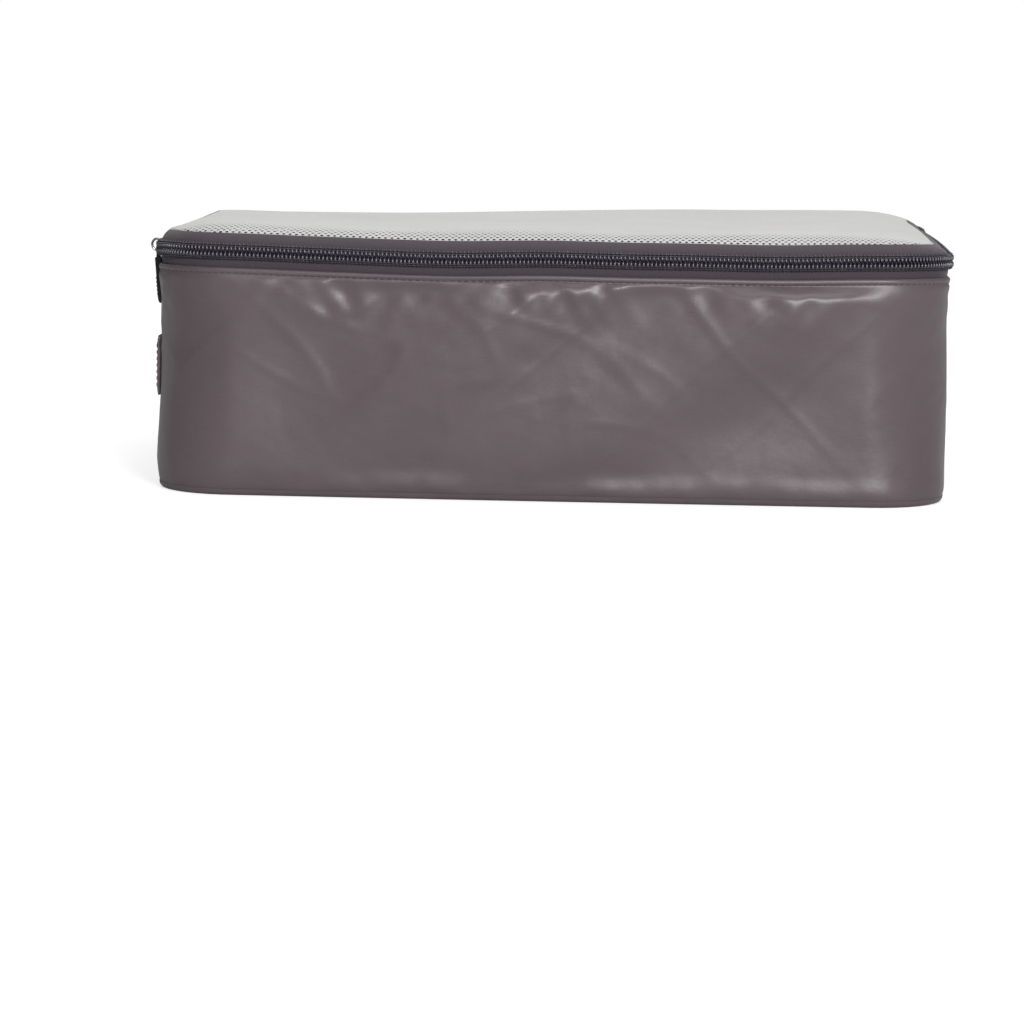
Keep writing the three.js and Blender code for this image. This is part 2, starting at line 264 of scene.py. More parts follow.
def finishPiece(piece, body, slotName, material, *nodes, angle=40):
    piece.data.materials.clear()
    piece.data.materials.append(material)
    choose(piece)
    bpy.ops.object.shade_smooth_by_angle(angle=math.radians(angle))
    if nodes:
        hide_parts(*nodes)
    if body:
        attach(piece, body)
    return piece


def joinPieces(name, pieces):
    choose(pieces[0])
    for piece in pieces:
        piece.select_set(True)
    bpy.ops.object.join()
    joined = bpy.context.object
    joined.name = name
    return joined


# Shaders

class Wire:
    # one output socket, so that shader maths reads as an expression
    def __init__(self, shader, socket):
        self.shader = shader
        self.socket = socket

    def maths(self, operation, *values):
        return self.shader.node("ShaderNodeMath", {"operation": operation}, dict(enumerate(values)))

    def __add__(self, other):
        return self.maths("ADD", self, other)

    def __radd__(self, other):
        return self.maths("ADD", other, self)

    def __sub__(self, other):
        return self.maths("SUBTRACT", self, other)

    def __rsub__(self, other):
        return self.maths("SUBTRACT", other, self)

    def __mul__(self, other):
        return self.maths("MULTIPLY", self, other)

    def __rmul__(self, other):
        return self.maths("MULTIPLY", other, self)

    def sine(self):
        return self.maths("SINE", self)

    def clamped(self):
        return self.shader.node("ShaderNodeClamp", {}, {0: self})


class Shader:
    def __init__(self, name):
        self.material = bpy.data.materials.new(name)
        self.material.use_nodes = True
        self.tree = self.material.node_tree
        self.tree.nodes.clear()

    def node(self, kind, settings=None, inputs=None, output=0):
        made = self.tree.nodes.new(kind)
        for key, value in (settings or {}).items():
            setattr(made, key, value)
        for key, value in (inputs or {}).items():
            if isinstance(value, Wire):
                self.tree.links.new(value.socket, made.inputs[key])
            else:
                made.inputs[key].default_value = value
        return Wire(self, made.outputs[output]) if made.outputs else None

    def uv(self):
        return self.node("ShaderNodeUVMap", {"uv_map": "cloth"})

    def place(self):
        return self.node("ShaderNodeTexCoord", {}, {}, "Object")

    def scaled(self, vector, scale):
        return self.node("ShaderNodeMapping", {}, {"Vector": vector, "Scale": scale})

    def part(self, vector, index):
        return self.node("ShaderNodeSeparateXYZ", {}, {0: vector}, index)

    def noise(self, vector, scale, detail=2.0, roughness=0.5):
        return self.node("ShaderNodeTexNoise", {}, {
            "Vector": vector, "Scale": scale, "Detail": detail, "Roughness": roughness})

    def mix(self, factor, first, second):
        return self.node("ShaderNodeMix", {"data_type": "RGBA"}, {
            0: factor, 6: first, 7: second}, 2)

    def bump(self, height, strength, distance):
        return self.node("ShaderNodeBump", {}, {
            "Height": height, "Strength": strength, "Distance": distance})

    def finish(self, **inputs):
        surface = self.node("ShaderNodeBsdfPrincipled", {}, {
            name.replace("_", " "): value for name, value in inputs.items()})
        self.node("ShaderNodeOutputMaterial", {}, {"Surface": surface})
        return self.material


def shade(red, green, blue):
    # a screen colour, 0 to 255, as the linear colour that a shader takes
    return (*[((part / 255 + 0.055) / 1.055) ** 2.4 for part in (red, green, blue)], 1.0)


nylonLook = {
    "light": shade(101, 89, 93), "dark": shade(80, 70, 75), "threadPitch": 0.42 * mm, "roughness": 0.4,
    "weaveDepth": 0.05 * mm, "crinkleScale": 75.0, "crinkleDepth": 1.0 * mm, "sheen": 0.12, "specular": 0.55,
}


def satinNylon():
    # plain weave of flat shiny threads, with uneven threads, and broad patches of painted sheen and painted
    # shade
    look = nylonLook
    s = Shader("satinNylon")
    uv = s.uv()
    turn = 2 * math.pi / look["threadPitch"]
    weave = (s.part(uv, 0) * turn).sine() * 0.5 + (s.part(uv, 1) * turn).sine() * 0.5
    slubs = s.noise(s.scaled(uv, (130, 3800, 1)), 1.0, 2.0)
    ends = s.noise(s.scaled(uv, (3800, 160, 1)), 1.0, 1.0)
    patches = s.noise(uv, 18.0, 3.0)
    # the broad patches lighten and darken the colour: painted sheen and painted shade; the slubs and ends
    # are the yarn's own
    tone = ((slubs - 0.5) * 0.55 + (ends - 0.5) * 0.3 + (patches - 0.5) * 0.7 + 0.5).clamped()
    colour = s.mix(tone, look["dark"], look["light"])
    rough = look["roughness"] + (patches - 0.5) * 0.12 + (slubs - 0.5) * 0.1
    height = weave * 0.35 + slubs * 0.8 + ends * 0.4
    crinkle = s.noise(uv, look["crinkleScale"], 4.0, 0.6)
    fine = s.bump(height, 0.3, look["weaveDepth"])
    normal = s.node("ShaderNodeBump", {}, {
        "Height": crinkle, "Strength": 0.2, "Distance": look["crinkleDepth"], "Normal": fine})
    return s.finish(Base_Color=colour, Roughness=rough, Normal=normal, Sheen_Weight=look["sheen"],
                    Sheen_Roughness=0.4, Specular_IOR_Level=look["specular"])


def netYarn():
    # fine twisted yarn, light grey
    s = Shader("netYarn")
    place = s.place()
    twist = s.noise(place, 3800.0, 1.0)
    patches = s.noise(place, 18.0, 2.0)
    tone = (twist * 0.5 + patches * 0.5).clamped()
    colour = s.mix(tone, shade(171, 171, 169), shade(196, 195, 194))
    return s.finish(Base_Color=colour, Roughness=0.62 + twist * 0.15,
                    Normal=s.bump(twist, 0.4, 0.1 * mm), Sheen_Weight=0.2)


def wovenTape(name, dark, light, pitch=0.55 * mm):
    # herringbone-like zip tape: fine ribs along its length, uneven threads
    s = Shader(name)
    uv = s.uv()
    across = s.part(uv, 0)
    up = s.part(uv, 1)
    turn = 2 * math.pi / pitch
    slant = (across * turn + up * turn * 1.4).sine()
    ribs = (up * turn * 1.2).sine()
    fuzz = s.noise(s.scaled(uv, (1500, 1500, 1)), 1.0, 2.0)
    tone = (0.5 + slant * 0.12 + ribs * 0.12 + (fuzz - 0.5) * 0.9).clamped()
    height = slant * 0.5 + ribs * 0.5 + fuzz
    return s.finish(Base_Color=s.mix(tone, dark, light), Roughness=0.8 + (fuzz - 0.5) * 0.2,
                    Normal=s.bump(height, 0.5, 0.09 * mm), Sheen_Weight=0.15)


def coilNylon():
    # smooth monofilament with a slight dusty bloom, and a highlight painted into the colour at the crest of
    # each loop
    s = Shader("coilNylon")
    bloom = s.noise(s.place(), 900.0, 2.0)
    crestHighlight = s.node("ShaderNodeAttribute", {"attribute_name": "crestHighlight"}, {}, "Fac")
    body = s.mix(bloom, shade(30, 28, 42), shade(46, 42, 56))
    # each loop's crest is mixed towards light grey: a painted highlight
    colour = s.mix(crestHighlight * 0.6, body, shade(150, 146, 152))
    return s.finish(Base_Color=colour, Roughness=0.3 - crestHighlight * 0.1 + bloom * 0.1,
                    Normal=s.bump(bloom, 0.1, 0.05 * mm), Specular_IOR_Level=0.7)


def sewingThread(name, dark, light):
    # two-ply twist
    s = Shader(name)
    place = s.place()
    twist = s.noise(place, 2600.0, 1.0)
    return s.finish(Base_Color=s.mix(twist, dark, light), Roughness=0.55 + twist * 0.2,
                    Normal=s.bump(twist, 0.5, 0.1 * mm), Sheen_Weight=0.2)


def darkEnamel():
    # grey paint over cast zinc, thinner and brighter in rubbed spots
    s = Shader("darkEnamel")
    place = s.place()
    grain = s.noise(place, 1600.0, 3.0)
    worn = s.noise(place, 420.0, 2.0)
    rubbed = ((worn - 0.58) * 7.0).clamped()
    colour = s.mix(rubbed, shade(74, 73, 79), shade(120, 119, 122))
    return s.finish(Base_Color=colour, Metallic=0.55 + rubbed * 0.4,
                    Roughness=0.36 + grain * 0.12 - rubbed * 0.1,
                    Normal=s.bump(grain, 0.15, 0.04 * mm))


def brightNickel():
    s = Shader("brightNickel")
    place = s.place()
    haze = s.noise(place, 700.0, 3.0)
    lines = s.noise(s.scaled(place, (400, 6000, 400)), 1.0, 1.0)
    return s.finish(Base_Color=s.mix(haze, shade(168, 168, 172), shade(205, 205, 208)),
                    Metallic=1.0, Roughness=0.14 + haze * 0.14,
                    Normal=s.bump(lines, 0.08, 0.03 * mm))


def mouldedRubber():
    s = Shader("mouldedRubber")
    place = s.place()
    grain = s.noise(place, 3000.0, 2.0)
    bloom = s.noise(place, 260.0, 3.0)
    return s.finish(Base_Color=s.mix(bloom, shade(20, 20, 22), shade(34, 34, 36)),
                    Roughness=0.5 + (bloom - 0.5) * 0.25,
                    Normal=s.bump(grain, 0.25, 0.05 * mm))


nylon = satinNylon()
netLook = netYarn()
tapeLook = wovenTape("zipTape", shade(50, 42, 50), shade(74, 64, 72))
bindingLook = wovenTape("bindingTape", shade(74, 67, 74), shade(112, 103, 109), 0.9 * mm)
coilLook = coilNylon()
threadLook = sewingThread("topThread", shade(48, 43, 48), shade(74, 67, 72))
coilThreadLook = sewingThread("coilThread", shade(34, 31, 40), shade(54, 49, 58))
enamelLook = darkEnamel()
nickelLook = brightNickel()
rubberLook = mouldedRubber()
print("shaders made")


# Cloth panels

def rolledGrid(name, start, end, columns, heights, insets):
    # a flat grid rolled round the plan
    rows = len(heights) - 1
    clearSelection()
    bpy.ops.mesh.primitive_grid_add(x_subdivisions=columns, y_subdivisions=rows, size=1)
    piece = bpy.context.object
    piece.name = name
    grid = readPoints(piece)
    distance = start + (grid[:, 0] + 0.5) * (end - start)
    row = np.clip(np.rint((grid[:, 1] + 0.5) * rows).astype(int), 0, rows)
    heights = np.asarray(heights, float)
    insets = np.asarray(insets, float)
    writePoints(piece, onWall(distance, insets[row], heights[row]))
    # the first and last columns share a place, so the map comes from the flat grid
    mapCloth(piece, piece.data.uv_layers[0], np.column_stack([distance, heights[row]]))
    return piece


wallValues = {
    "columnStep": 3.3 * mm, "rows": 28, "bottom": 2.6 * mm, "hem": 2.3 * mm, "thickness": 0.5 * mm,
    "foldInsets": (0.45, 0.55, 0.15, 0.0, 0.05, 0.3, 0.8), "gather": 0.016, "gatherUp": 0.004,
    "pressure": 0.6, "mass": 0.12, "stiffness": 25, "shear": 8, "bending": 0.35, "gravity": 0.15,
    "frames": 26, "cap": 5 * mm, "follow": 0.4, "startBumps": 0.05 * mm,
}
stitchLine = wallTop - wallValues["hem"]


def wallHeights():
    v = wallValues
    low = np.linspace(v["bottom"], stitchLine - 1.2 * mm, v["rows"])
    hem = stitchLine + np.array([0, 0.35, 0.9, 1.6, 2.05, 2.3]) * mm
    return np.concatenate([[v["bottom"] - 0.7 * mm], low, [stitchLine - 0.5 * mm], hem])


def alongPlan(piece):
    # how far along the plan each point lies, and how far it is from the nearer back seam
    flat = np.empty(len(piece.data.loops) * 2)
    piece.data.uv_layers["cloth"].data.foreach_get("uv", flat)
    across = np.zeros(len(piece.data.vertices))
    across[faceCorners(piece)] = flat.reshape(-1, 2)[:, 0]
    fromSeam = np.min(np.abs(across[:, None] - np.array([0, zipLength, perimeter])), axis=1)
    return across, fromSeam


def gatherCloth(piece, sewnAbove, sewnBelow):
    # the cloth is cut a little longer than the seams that hold it, and pressed out from inside
    v = wallValues
    points = readPoints(piece)
    sewn = piece.vertex_groups.new(name="sewn")
    atSeam = alongPlan(piece)[1] < 2.5 * mm
    held = np.nonzero((points[:, 2] > sewnAbove) | (points[:, 2] < sewnBelow) | atSeam)[0]
    sewn.add([int(index) for index in held], 1.0, "REPLACE")
    piece.shape_key_add(name="Basis")
    cut = piece.shape_key_add(name="cut")
    spread = points * (1 + np.array([v["gather"], v["gather"], v["gatherUp"]]))
    cut.data.foreach_set("co", spread.ravel())
    cloth = piece.modifiers.new("drape", "CLOTH")
    s = cloth.settings
    s.quality = 6
    s.mass = v["mass"]
    s.tension_stiffness = v["stiffness"]
    s.compression_stiffness = v["stiffness"]
    s.shear_stiffness = v["shear"]
    s.bending_stiffness = v["bending"]
    s.vertex_group_mass = "sewn"
    s.rest_shape_key = cut
    s.use_pressure = True
    s.uniform_pressure_force = v["pressure"]
    s.effector_weights.gravity = v["gravity"]
    cloth.collision_settings.use_collision = False
    cloth.point_cache.frame_end = v["frames"]
    scene = bpy.context.scene
    for number in range(1, v["frames"] + 1):
        scene.frame_set(number)
    choose(piece)
    bpy.ops.object.convert(target="MESH")
    scene.frame_set(1)
    # the settled shape keeps a part of the simulated movement, up to a cap
    shift = readPoints(piece) - points
    moved = np.linalg.norm(shift, axis=1, keepdims=True)
    writePoints(piece, points + shift * v["follow"] * np.minimum(1, v["cap"] / np.maximum(moved, 1e-9)))


wrinkleValues = {
    "broad": 2.7 * mm, "broadLength": 74 * mm, "soft": 0.1 * mm, "softLength": 24 * mm,
    "crease": 0.4 * mm, "creaseLength": 75 * mm, "pucker": 0.75 * mm, "puckerLength": 11 * mm,
    "puckerDepth": 24 * mm, "groove": 0.3 * mm, "grooveWidth": 0.55 * mm, "seamFade": 14 * mm,
    "seamDip": 0.5 * mm, "seamWidth": 1.2 * mm, "cornerCalm": 0.55,
}


def wrinkle(piece):
    # the small forms of a light nylon: long soft creases, and gathers under the stitching
    v = wrinkleValues
    points = readPoints(piece)
    across, fromSeam = alongPlan(piece)
    up = points[:, 2]
    plan = np.maximum(np.abs(points[:, :2]) - np.array([straightX, straightY]), 0)
    outward = np.sign(points[:, :2]) * plan
    outward /= np.maximum(np.linalg.norm(outward, axis=1, keepdims=True), 1e-9)
    free = smooth((up - 4 * mm) / (9 * mm)) * smooth((stitchLine - up) / (5 * mm))
    below = np.clip((stitchLine - up) / v["puckerDepth"], 0, 1)
    # broad sweeps that climb to the right
    sweep, rung = across * 0.86 + up * 0.5, up * 0.86 - across * 0.5
    lift = v["broad"] * free * crumple(sweep / 2.2, rung, v["broadLength"], 3)
    upper = free * (0.25 + 0.75 * smooth((up - 12 * mm) / (52 * mm)))
    lift += v["soft"] * upper * crumple(across, up * 1.5, v["softLength"], 5)
    # long creases, some leaning right and some left
    for slant, seed in ((0.9, 11), (-1.3, 12)):
        ridge = 1 - np.abs(crumple(across + up * slant, up * 0.8, v["creaseLength"], seed)) * 4.5
        lift += v["crease"] * upper * np.clip(ridge, 0, 1) ** 1.2
    # gathers that hang from the stitching, deeper in some stretches, and a few above the base seam
    gathered = smooth(0.5 + 1.6 * crumple(across, up * 0, 70 * mm, 31))
    gathers = (crumple(across + 0.5 * up, up * 0.3, v["puckerLength"], 17)
               + crumple(across - 0.7 * up, up * 0.3, v["puckerLength"] * 1.4, 18))
    hang = smooth((stitchLine - up) / (2.5 * mm)) * (1 - smooth(below))
    lift += v["pucker"] * (0.35 + 0.65 * gathered) * hang * gathers
    foot = smooth((up - 3 * mm) / (1.5 * mm)) * (1 - smooth((up - 5 * mm) / (12 * mm)))
    lift += 0.25 * v["pucker"] * foot * crumple(across, up * 0.4, v["puckerLength"] * 1.3, 19)
    lift -= v["groove"] * np.exp(-((up - stitchLine) / v["grooveWidth"]) ** 2)
    # it stays outside the tape behind it, and flatter round the corners and sides
    corner = smooth((np.abs(points[:, 0]) - 105 * mm) / (35 * mm))
    lift *= 1 - v["cornerCalm"] * corner
    limit = 0.3 * mm + 0.35 * np.clip(stitchLine - up, 0, None)
    lift = np.where(lift < 0, -limit * np.tanh(-lift / limit), lift)
    lift *= smooth(fromSeam / v["seamFade"])
    lift -= v["seamDip"] * np.exp(-(fromSeam / v["seamWidth"]) ** 2)
    points[:, :2] += outward * lift[:, None]
    writePoints(piece, points)


def makeWalls():
    v = wallValues
    columns = round(perimeter / v["columnStep"])
    heights = wallHeights()
    insets = np.zeros(len(heights))
    insets[0] = 1.2 * mm
    insets[1] = 0.5 * mm
    insets[-7:] = np.array(v["foldInsets"]) * mm
    ring = rolledGrid("wallRing", 0, perimeter, columns, heights, insets)
    choose(ring)
    bpy.ops.object.mode_set(mode="EDIT")
    bpy.ops.mesh.select_all(action="SELECT")
    bpy.ops.mesh.remove_doubles(threshold=0.02 * mm)
    bpy.ops.object.mode_set(mode="OBJECT")
    points = readPoints(ring)
    # a start for the folds, so that they fall the same way each time
    rng = np.random.default_rng(7)
    up = points[:, 2]
    free = smooth((up - 6 * mm) / (10 * mm)) * smooth((wallTop - 5 * mm - up) / (6 * mm))
    outward = points[:, :2] / np.linalg.norm(points[:, :2], axis=1, keepdims=True)
    points[:, :2] += outward * (rng.normal(0, v["startBumps"], len(points)) * free)[:, None]
    writePoints(ring, points)
    gatherCloth(ring, stitchLine - 0.8 * mm, v["bottom"] + 0.5 * mm)
    subdivide(ring)
    applyAll(ring)
    wrinkle(ring)
    # the back stretch is a panel of its own
    choose(ring)
    bpy.ops.object.mode_set(mode="EDIT")
    bpy.ops.mesh.select_mode(type="FACE")
    bpy.ops.mesh.select_all(action="DESELECT")
    bpy.ops.object.mode_set(mode="OBJECT")
    cut = ring.data.uv_layers["cloth"].data
    for face in ring.data.polygons:
        face.select = sum(cut[loop].uv[0] for loop in face.loop_indices) / face.loop_total > zipLength
    bpy.ops.object.mode_set(mode="EDIT")
    bpy.ops.mesh.separate(type="SELECTED")
    bpy.ops.object.mode_set(mode="OBJECT")
    back = [o for o in bpy.context.selected_objects if o is not ring][0]
    ring.name = "frontSideWall"
    back.name = "backWall"
    # the back panel has no zip, so it reaches up to the lid
    points = readPoints(back)
    stretch = (meshEdge + 0.4 * mm - v["bottom"]) / (wallTop - v["bottom"])
    points[:, 2] = v["bottom"] + (points[:, 2] - v["bottom"]) * stretch
    writePoints(back, points)
    for piece, node in ((ring, "front_side_wall"), (back, "back_wall")):
        thicken(piece, v["thickness"])
        applyAll(piece)
        finishPiece(piece, "tray", "shell_fabric", nylon, node, angle=60)
    print("walls made")


makeWalls()


baseValues = {
    "lip": 2.6 * mm, "round": 1.8 * mm, "thickness": 0.5 * mm, "points": 176, "inset": 0.4 * mm,
    "rings": (0, 0.25, 0.6, 1.1, 1.8, 3, 5, 9, 15, 23, 32),
}


def makeBase():
    # the bottom panel turns up at its edge to meet the wall at the seam
    v = baseValues
    clearSelection()
    bpy.ops.mesh.primitive_circle_add(vertices=v["points"], radius=1, fill_type="NOTHING")
    base = bpy.context.object
    base.name = "bottomPanel"
    distance = np.arange(v["points"]) / v["points"] * perimeter
    points, outward = outline(distance)
    points = points - v["inset"] * outward
    writePoints(base, np.column_stack([points, np.zeros(len(points))]))
    bpy.ops.object.mode_set(mode="EDIT")
    bpy.ops.mesh.select_all(action="SELECT")
    bpy.ops.mesh.edge_face_add()
    bpy.ops.mesh.select_mode(type="FACE")
    for outer, inner in zip(v["rings"], v["rings"][1:]):
        bpy.ops.mesh.inset(thickness=(inner - outer) * mm, depth=0)
    bpy.ops.mesh.poke()
    bpy.ops.mesh.select_all(action="SELECT")
    bpy.ops.mesh.normals_make_consistent(inside=False)
    bpy.ops.object.mode_set(mode="OBJECT")
    points = readPoints(base)
    # how far in from the edge each point lies
    corner = np.maximum(np.abs(points[:, :2]) - np.array([straightX, straightY]), 0)
    depthIn = cornerRadius - v["inset"] - np.linalg.norm(corner, axis=1)
    turned = np.clip(1 - depthIn / v["round"], 0, 1)
    points[:, 2] = v["lip"] * (1 - np.sqrt(np.clip(1 - turned ** 2, 0, 1)))
    if base.data.polygons[0].normal.z > 0:
        base.data.flip_normals()
    mapCloth(base, base.data.uv_layers.new(name="cloth"), points[:, :2])
    writePoints(base, settle(points))
    thicken(base, v["thickness"])
    applyAll(base)
    finishPiece(base, "tray", "shell_fabric", nylon, "bottom_panel", angle=60)
    print("base made")


makeBase()


# Zip

zipValues = {
    "columnStep": 3.0 * mm, "loopPitch": 1.68 * mm, "wire": 0.38 * mm,
    "thread": 0.2 * mm, "tapeInset": 1.0 * mm, "tapeThickness": 0.45 * mm,
    # one turn of the coil, in mm but for the first, a share of the pitch: along, then across from the
    # tape side to the head, then out from the tape
    "turn": (
        (0.00, 0.0, 0.4), (0.0, 0.1, 0.8), (0.02, 0.9, 1.25), (0.05, 1.6, 1.72), (0.08, 2.0, 1.82),
        (0.12, 2.5, 1.62), (0.2, 3.2, 0.98), (0.35, 3.3, 0.5), (0.7, 1.6, 0.4),
    ),
    # loops that stand out past this height, in mm, get a painted highlight in their colour
    "crestHighlight": 1.65, "crestBlend": 0.15,
    "threadPlaces": ((0.35, 1.5), (1.15, 1.95)),  # each across, then out, in mm
    "tucked": (3.6, 3.4, 3.0, 2.3, 1.7, 1.3, 1.05, 1.0, 1.0),
}


def makeBand(name, start, end, low, high, insets, thickness, body, slotName, material, *nodes, lean=None,
             behind=0.0):
    # a tape on edge round the plan; lean gives each of its rows a share of the way to the lid's edge,
    # and behind is how far inside that edge it ends
    columns = max(4, round((end - start) / zipValues["columnStep"]))
    heights = np.linspace(low, high, len(insets))
    band = rolledGrid(name, start, end, columns, heights, insets)
    if lean is not None:
        grid = np.linspace(start, end, columns + 1)
        edgeInset, edgeHeight = lidEdge(grid)
        rows = []
        for share, inset, height in zip(lean, insets, heights):
            rows.append(onWall(grid, inset + (edgeInset + behind - inset) * share ** 2,
                               height + (edgeHeight - high) * share))
        writePoints(band, np.concatenate(rows))
    thicken(band, thickness)
    applyAll(band)
    return finishPiece(band, body, slotName, material, *nodes, angle=50)


def tubeAlong(name, line, radius):
    # a thin closed-ended tube through points
    curve = bpy.data.curves.new(name, "CURVE")
    curve.dimensions = "3D"
    curve.bevel_depth = radius
    curve.bevel_resolution = 1
    curve.use_fill_caps = True
    spline = curve.splines.new("POLY")
    spline.points.add(len(line) - 1)
    spline.points.foreach_set("co", np.column_stack([line, np.ones(len(line))]).ravel())
    choose(addObject(name, curve))
    bpy.ops.object.convert(target="MESH")
    return bpy.context.object


def makeCoil(name, direction, body, node):
    # one row of loops: a flattened helix whose heads reach just past the middle of the chain
    v = zipValues
    pitch = v["loopPitch"]
    count = int(zipLength / pitch)
    turn = np.array(v["turn"])
    loops = np.arange(count)
    shift = 0.5 if direction < 0 else 0.0
    along = ((loops[:, None] + shift + 0.25 + turn[None, :, 0]) * pitch).ravel()
    across = np.tile(turn[:, 1], count) * mm
    out = np.tile(turn[:, 2], count) * mm
    edge = lowerCoilLow.z if direction > 0 else upperCoilHigh.z
    line = onWall(along, v["tapeInset"] - out - 0.1 * mm, edge + direction * across)
    coil = tubeAlong(name, line, v["wire"])
    # how near each point is to the crest of its loop, where a highlight is painted into the colour
    height = np.tile(smooth((turn[:, 2] - v["crestHighlight"]) / v["crestBlend"]), count)
    nearest = KDTree(len(line))
    for number, place in enumerate(line):
        nearest.insert(place, number)
    nearest.balance()
    crestHighlight = [height[nearest.find(vertex.co)[1]] for vertex in coil.data.vertices]
    coil.data.attributes.new("crestHighlight", "FLOAT", "POINT").data.foreach_set("value", crestHighlight)
    # the lockstitch that holds the legs to the tape rides over every loop
    steps = np.arange(count * 4)
    along = (steps / 4 + shift + 0.25) * pitch
    wave = np.cos(steps * math.pi / 2)
    threads = []
    for place, height in v["threadPlaces"]:
        line = onWall(along, v["tapeInset"] - (height + 0.12 * wave) * mm,
                      edge + direction * (place + 0.06 * np.sin(steps * math.pi / 2)) * mm)
        threads.append(tubeAlong(name + "Thread", line, v["thread"]))
    thread = joinPieces(name + "Thread", threads)
    finishPiece(thread, body, "thread", coilThreadLook, angle=80)
    print(name, count, "loops,", len(coil.data.polygons), "faces")
    return finishPiece(coil, body, "zipper_coil", coilLook, node, angle=80)


def makeZip():
    v = zipValues
    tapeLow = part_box("lower_zipper_tape")[0][2]
    tucked = np.array(v["tucked"]) * mm  # the lower tape's rows, from its foot behind the wall
    makeBand("lowerTape", 0, zipLength, tapeLow, lowerCoilHigh.z, tucked, v["tapeThickness"],
             "tray", "zipper_tape", tapeLook, "lower_zipper_tape")
    makeBand("upperTape", 0, zipLength, upperCoilLow.z, meshEdge + 0.6 * mm,
             np.full(9, v["tapeInset"]), v["tapeThickness"], "lid", "zipper_tape", tapeLook,
             "upper_zipper_tape", lean=np.linspace(0, 1, 9) ** 1.3)
    makeCoil("lowerCoil", 1, "tray", "lower_zipper_coil")
    makeCoil("upperCoil", -1, "lid", "upper_zipper_coil")


makeZip()


bindingValues = {
    "thickness": 0.9 * mm, "bulge": 0.35 * mm * np.array([0, 0.8, 1, 1, 0.8, 0]), "bottomInset": 2.4 * mm,
    "hingeInset": 2.6 * mm, "sideInset": 2.3 * mm, "sideHalf": 4 * mm, "lidInset": 5.2 * mm,
    "lidBehind": 1.0 * mm, "tabInsets": (1.6, 1.6, 1.6, 1.8, 2.6, 3.8), "tabWidth": 10 * mm,
    "tabThickness": 0.4 * mm,
}


def bindSeam(name, start, end, low, high, insets, thickness, body, *nodes, **edge):
    makeBand(name, start, end, low, high, insets, thickness, body, "binding_tape", bindingLook, *nodes,
             **edge)


def makeBindings():
    # ribbed tape folded over each seam inside
    v = bindingValues
    bulge, thick, half = v["bulge"], v["thickness"], v["sideHalf"]
    low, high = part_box("bottom_seam_binding")
    bindSeam("bottomBinding", 0, perimeter, low[2], high[2], v["bottomInset"] + bulge, thick, "tray",
             "bottom_seam_binding")
    low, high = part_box("hinge_seam_binding")
    margin = straightX - high[0]
    bindSeam("hingeBinding", zipLength + margin, perimeter - margin, low[2], high[2] - 1.0 * mm,
             v["hingeInset"] + bulge, thick, "tray", "hinge_seam_binding")
    for name, node, middle in (("backLeftBinding", "back_left_seam_binding", perimeter),
                               ("backRightBinding", "back_right_seam_binding", zipLength)):
        low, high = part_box(node)
        bindSeam(name, middle - half, middle + half, low[2], high[2], v["sideInset"] + bulge, thick,
                 "tray", node)
    # a short tab inside each end of the zip
    for name, start in (("backLeftTab", perimeter - 6 * mm), ("backRightTab", zipLength - 4 * mm)):
        bindSeam(name, start, start + v["tabWidth"], wallTop - 3 * mm, meshEdge - 1.0 * mm,
                 np.array(v["tabInsets"]) * mm, v["tabThickness"], "tray")
    bindSeam("lidBinding", 0, perimeter, meshEdge - 2.0 * mm, meshEdge + 0.6 * mm, v["lidInset"] + bulge,
             thick, "lid", "lid_seam_binding", lean=np.full(6, 1.0), behind=v["lidBehind"])
    print("bindings made")


makeBindings()


stitchValues = {"pitch": 2.87 * mm, "length": 2.1 * mm, "radius": 0.2 * mm, "sunk": 0.42 * mm}


def oneStitch(length, radius):
    # a short run of thread whose ends dive into the cloth, along X
    clearSelection()
    bpy.ops.mesh.primitive_cylinder_add(
        vertices=6, radius=radius, depth=length, rotation=(0, math.pi / 2, 0))
    stitch = bpy.context.object
    applyPlace()
    bpy.ops.object.mode_set(mode="EDIT")
    for side in (-1, 1):
        bpy.ops.mesh.select_all(action="SELECT")
        bpy.ops.mesh.bisect(plane_co=(side * length * 0.3, 0, 0), plane_no=(1, 0, 0))
    bpy.ops.object.mode_set(mode="OBJECT")
    points = readPoints(stitch)
    points[:, 1] -= radius * 2.2 * smooth((np.abs(points[:, 0]) / length - 0.3) / 0.2)
    writePoints(stitch, points)
    faces = [list(face.vertices) for face in stitch.data.polygons]
    bpy.data.objects.remove(stitch)
    return points, faces


def sewAlong(name, places, directions, outwards, length, radius):
    # copies of one stitch; each points along its direction and stands out of the cloth
    shape, faces = oneStitch(length, radius)
    directions = np.asarray(directions, float)
    directions /= np.linalg.norm(directions, axis=1, keepdims=True)
    outwards = np.asarray(outwards, float)
    ups = np.cross(directions, outwards)
    points = (places[:, None, :] + shape[None, :, 0:1] * directions[:, None, :]
              + shape[None, :, 1:2] * outwards[:, None, :] + shape[None, :, 2:3] * ups[:, None, :])
    allFaces = [[index + copy * len(shape) for index in face]
                for copy in range(len(places)) for face in faces]
    mesh = bpy.data.meshes.new(name)
    mesh.from_pydata(points.reshape(-1, 3).tolist(), [], allFaces)
    piece = addObject(name, mesh)
    pointOutwards(piece)
    return piece


def makeTopstitch():
    v = stitchValues
    count = int(zipLength / v["pitch"])
    middle = (np.arange(count) + 0.5) * v["pitch"]
    height = stitchLine + 0.1 * mm
    places = onWall(middle, np.full(count, v["sunk"]), height)
    ahead = onWall(middle + 0.5 * mm, np.full(count, v["sunk"]), height)
    outward = np.column_stack([outline(middle)[1], np.zeros(count)])
    piece = sewAlong("topstitch", places, ahead - places, outward, v["length"], v["radius"])
    finishPiece(piece, "tray", "thread", threadLook, angle=60)
    print("topstitch", count, "stitches")


makeTopstitch()


# Mesh lid

